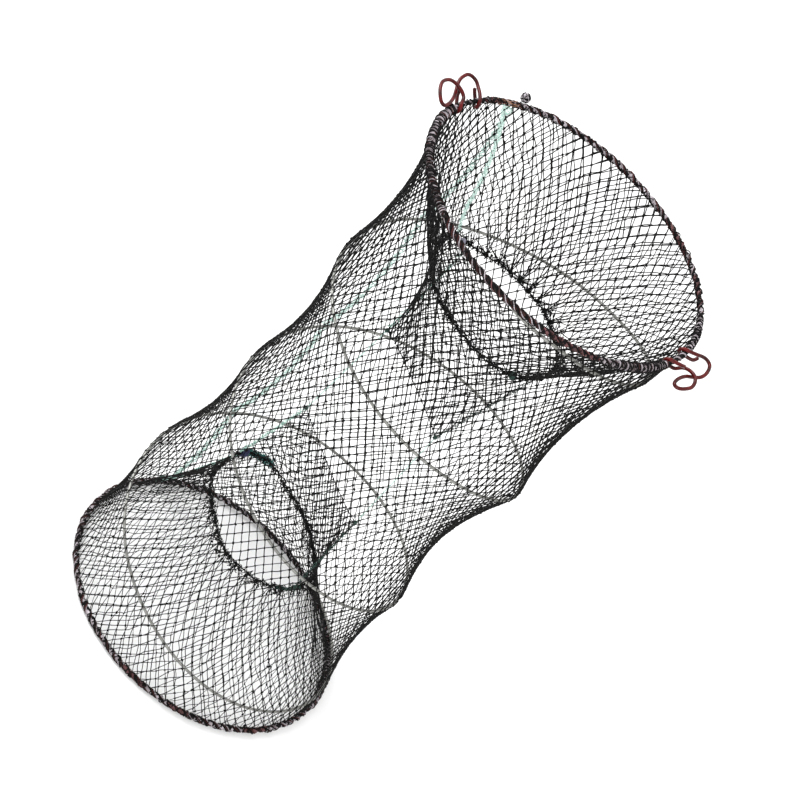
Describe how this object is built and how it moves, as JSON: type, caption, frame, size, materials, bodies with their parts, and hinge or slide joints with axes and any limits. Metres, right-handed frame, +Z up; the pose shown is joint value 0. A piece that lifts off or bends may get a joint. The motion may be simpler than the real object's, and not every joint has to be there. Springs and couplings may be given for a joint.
{
  "type": "crayfish trap",
  "caption": "Collapsible crayfish trap: a net tube over a wide wire spring between twine wrapped hoops, a net funnel and tongue in each end, and red wire hooks on the upper hoop.",
  "frame": {"origin": "on the floor, on the trap's axis, midway under its lower ring", "axes": "+Z up along the trap from the lower ring to the upper one; the two hooks on -X and +X; the side nearest the viewer on -Y"},
  "size_m": [0.3425, 0.2994, 0.614],
  "materials": {
    "spring_wire": "galvanised round wire, dull grey",
    "net": "near black knotted twine netting",
    "ring_twine": "dark brown and purple twisted twine",
    "green_cord": "pale sea green thread",
    "dark_green_cord": "dark green thread",
    "blue_knot": "dark blue twine knot",
    "grey_knot": "grey twine knot",
    "hook_wire": "red plastic coated wire, glossy"
  },
  "bodies": {
    "base": {"lower_end_hoop": "spring_wire", "lower_funnel_net": "net", "lower_funnel_seam": "green_cord", "lower_mouth_cord": "net", "lower_mouth_knot_left": "blue_knot", "lower_mouth_knot_right": "dark_green_cord", "lower_ring_knot": "dark_green_cord", "lower_ring_wrap": "ring_twine", "lower_tongue_knot_left": "dark_green_cord", "lower_tongue_knot_right": "dark_green_cord", "lower_tongue_lacing_left": "green_cord", "lower_tongue_lacing_right": "dark_green_cord", "lower_tongue_net": "net", "net_bay_1": "net", "pull_cord_left": "green_cord", "pull_cord_right": "green_cord", "spring_turn_1": "spring_wire", "tube_seam_lacing_1": "green_cord"},
    "turn_2": {"net_bay_2": "net", "spring_turn_2": "spring_wire", "tube_seam_lacing_2": "green_cord"},
    "turn_3": {"net_bay_3": "net", "spring_turn_3": "spring_wire", "tube_seam_lacing_3": "green_cord"},
    "turn_4": {"net_bay_4": "net", "spring_turn_4": "spring_wire", "tube_seam_lacing_4": "green_cord"},
    "top": {"upper_end_hoop": "spring_wire", "upper_funnel_net": "net", "upper_funnel_seam": "green_cord", "upper_mouth_cord": "net", "upper_mouth_knot_left": "grey_knot", "upper_mouth_knot_right": "dark_green_cord", "upper_tongue_knot_left": "dark_green_cord", "upper_tongue_knot_right": "dark_green_cord", "upper_tongue_lacing_left": "green_cord", "upper_tongue_lacing_right": "dark_green_cord", "upper_tongue_net": "net", "upper_twine_ball": "ring_twine", "upper_wrap_back": "ring_twine", "upper_wrap_front": "ring_twine", "upper_wrap_left": "ring_twine", "upper_wrap_right": "ring_twine"},
    "hook_left": {"hook_left": "hook_wire"},
    "hook_right": {"hook_right": "hook_wire"}
  },
  "joints": [
    {"name": "collapse", "type": "slide", "parent": "base", "child": "top", "axis": [0, 0, 1], "range_m": [-0.5697, 0], "stiffness_N_per_m": 14.5, "springref_m": 0.25, "deforming": ["lower_funnel_net", "lower_funnel_seam", "lower_mouth_cord", "lower_mouth_knot_left", "lower_mouth_knot_right", "lower_tongue_knot_left", "lower_tongue_knot_right", "lower_tongue_lacing_left", "lower_tongue_lacing_right", "lower_tongue_net", "net_bay_1", "pull_cord_left", "pull_cord_right", "spring_turn_1", "tube_seam_lacing_1", "upper_funnel_net", "upper_funnel_seam", "upper_mouth_cord", "upper_mouth_knot_left", "upper_mouth_knot_right", "upper_tongue_knot_left", "upper_tongue_knot_right", "upper_tongue_lacing_left", "upper_tongue_lacing_right", "upper_tongue_net"]},
    {"name": "turn_2_slide", "type": "slide", "parent": "base", "child": "turn_2", "axis": [0, 0, 1], "range_m": [-0.14292, 0], "deforming": ["net_bay_2", "spring_turn_2", "tube_seam_lacing_2"]},
    {"name": "turn_3_slide", "type": "slide", "parent": "base", "child": "turn_3", "axis": [0, 0, 1], "range_m": [-0.28535, 0], "deforming": ["net_bay_3", "spring_turn_3", "tube_seam_lacing_3"]},
    {"name": "turn_4_slide", "type": "slide", "parent": "base", "child": "turn_4", "axis": [0, 0, 1], "range_m": [-0.42777, 0], "deforming": ["net_bay_4", "spring_turn_4", "tube_seam_lacing_4"]},
    {"name": "hook_left_swing", "type": "hinge", "parent": "top", "child": "hook_left", "pos_m": [-0.14439, 0.0101, 0.5999], "axis": [-0.0698, -0.9976, 0], "range_deg": [-16, 97]},
    {"name": "hook_right_swing", "type": "hinge", "parent": "top", "child": "hook_right", "pos_m": [0.1447, 0.00354, 0.5999], "axis": [-0.0244, 0.9997, 0], "range_deg": [-107, 67]}
  ],
  "couplings": [
    {"joint": "turn_2_slide", "follows": "collapse", "ratio": 0.25},
    {"joint": "turn_3_slide", "follows": "collapse", "ratio": 0.5},
    {"joint": "turn_4_slide", "follows": "collapse", "ratio": 0.75}
  ]
}
